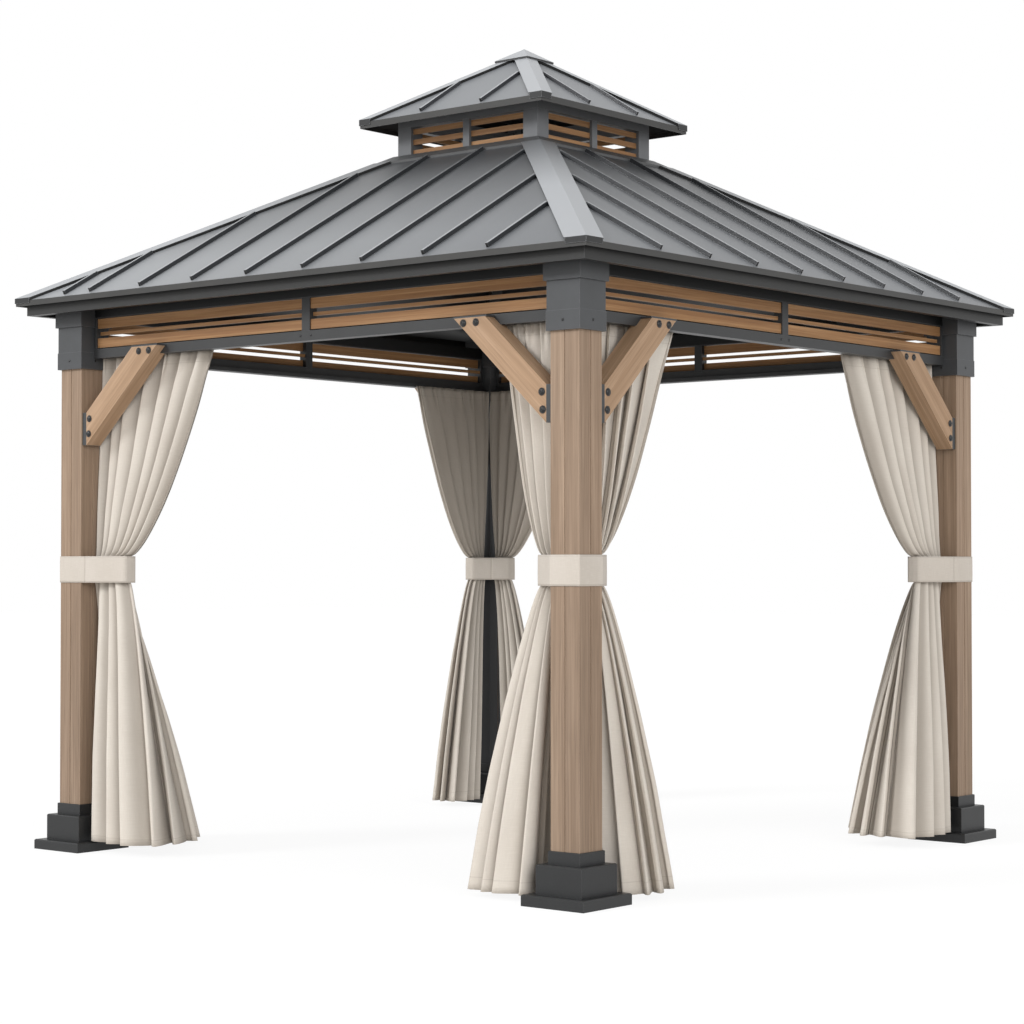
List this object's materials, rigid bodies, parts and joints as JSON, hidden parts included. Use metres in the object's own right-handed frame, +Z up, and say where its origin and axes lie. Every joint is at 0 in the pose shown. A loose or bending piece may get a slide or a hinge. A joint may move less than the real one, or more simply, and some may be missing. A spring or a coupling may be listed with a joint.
{
  "type": "hardtop gazebo",
  "caption": "Square hardtop gazebo with wood-look posts, louvred beams, knee braces, a two-tier hipped standing-seam roof with a louvred cupola, and tied-back curtains.",
  "frame": {"origin": "on the ground under the middle of the gazebo", "axes": "+Z up, +X to the right and -Y to the front; the picture's nearest post is front_right"},
  "size_m": [3.05, 3.05, 3.4099],
  "materials": {
    "post_wood": "matte grey-brown wood grain",
    "brace_wood": "matte warm wood grain",
    "slat_wood": "matte warm wood grain",
    "dark_steel": "satin charcoal powder coat",
    "trim_steel": "satin charcoal powder coat",
    "roof_steel": "satin grey coated steel sheet",
    "curtain_fabric": "matte greige woven polyester"
  },
  "bodies": {
    "root": {"front_left_post": "post_wood", "front_left_post_base": "dark_steel", "front_left_post_cap": "dark_steel", "front_left_knee_braces": "brace_wood", "front_left_curtains": "curtain_fabric", "front_right_post": "post_wood", "front_right_post_base": "dark_steel", "front_right_post_cap": "dark_steel", "front_right_knee_braces": "brace_wood", "front_right_curtains": "curtain_fabric", "back_right_post": "post_wood", "back_right_post_base": "dark_steel", "back_right_post_cap": "dark_steel", "back_right_knee_braces": "brace_wood", "back_right_curtains": "curtain_fabric", "back_left_post": "post_wood", "back_left_post_base": "dark_steel", "back_left_post_cap": "dark_steel", "back_left_knee_braces": "brace_wood", "back_left_curtains": "curtain_fabric", "front_beam_frame": "dark_steel", "front_beam_slats": "slat_wood", "front_roof_face": "roof_steel", "right_beam_frame": "dark_steel", "right_beam_slats": "slat_wood", "right_roof_face": "roof_steel", "back_beam_frame": "dark_steel", "back_beam_slats": "slat_wood", "back_roof_face": "roof_steel", "left_beam_frame": "dark_steel", "left_beam_slats": "slat_wood", "left_roof_face": "roof_steel", "brace_brackets": "dark_steel", "eave_fascia": "dark_steel", "eave_drip_edge": "trim_steel", "roof_hip_caps": "roof_steel", "hip_rafters": "dark_steel", "cupola_curb": "trim_steel", "cupola_frame": "dark_steel", "cupola_slats": "slat_wood", "cupola_roof": "roof_steel", "cupola_drip_edge": "trim_steel", "cupola_hip_caps": "roof_steel", "apex_cap": "roof_steel", "curtain_tracks": "dark_steel", "curtain_ties": "curtain_fabric"}
  },
  "joints": []
}
